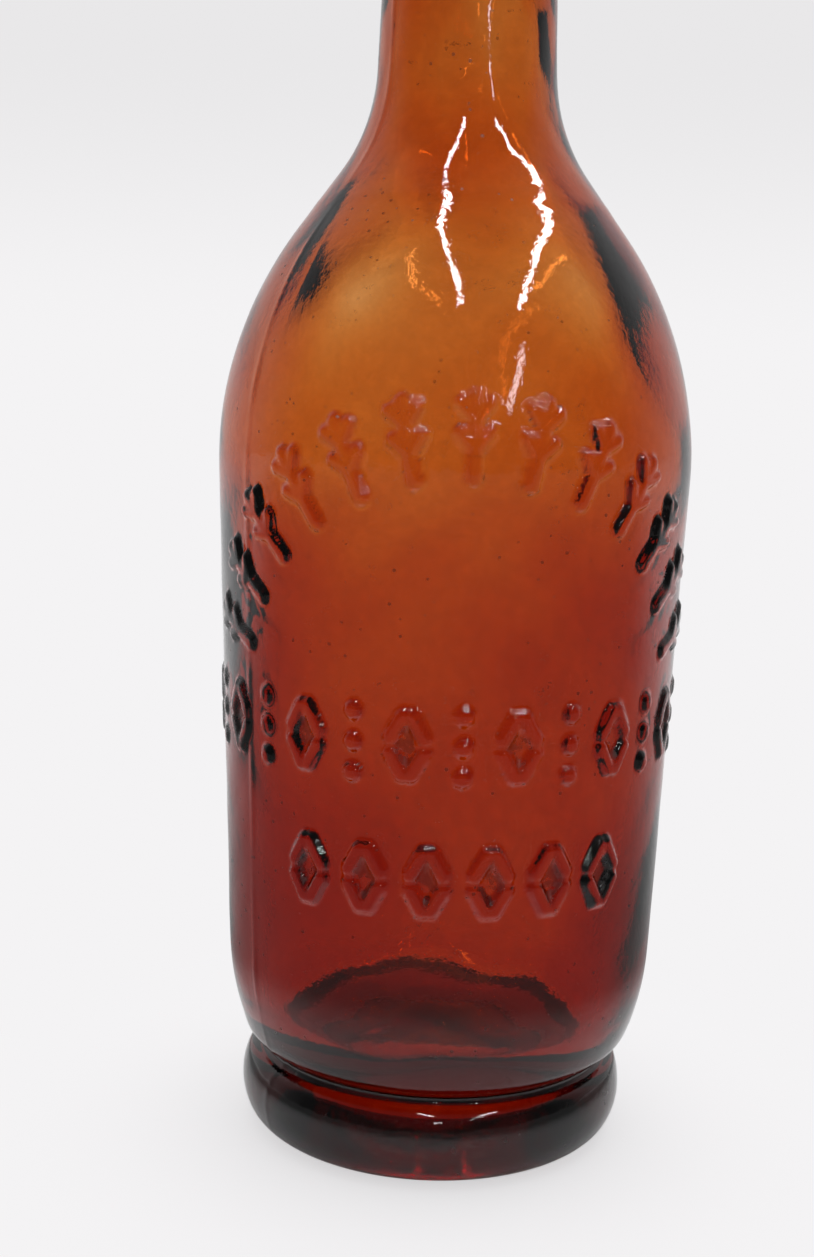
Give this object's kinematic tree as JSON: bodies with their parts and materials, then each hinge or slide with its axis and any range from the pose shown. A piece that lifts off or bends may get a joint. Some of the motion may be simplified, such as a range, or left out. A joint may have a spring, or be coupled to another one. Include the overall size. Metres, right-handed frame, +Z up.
{
  "type": "beer bottle",
  "caption": "Empty brown glass beer bottle with a footed ring base, sloping shoulder, slim neck with a band lip and raised grain ornament on its front.",
  "frame": {"origin": "centre of the foot ring's resting face", "axes": "+Z up along the bottle's axis to its mouth, -Y towards the front with the raised ornament, +X to the right seen from the front"},
  "size_m": [0.08, 0.0811, 0.242],
  "materials": {
    "amber_glass": "gloss"
  },
  "bodies": {
    "root": {"bottle": "amber_glass"}
  },
  "joints": []
}
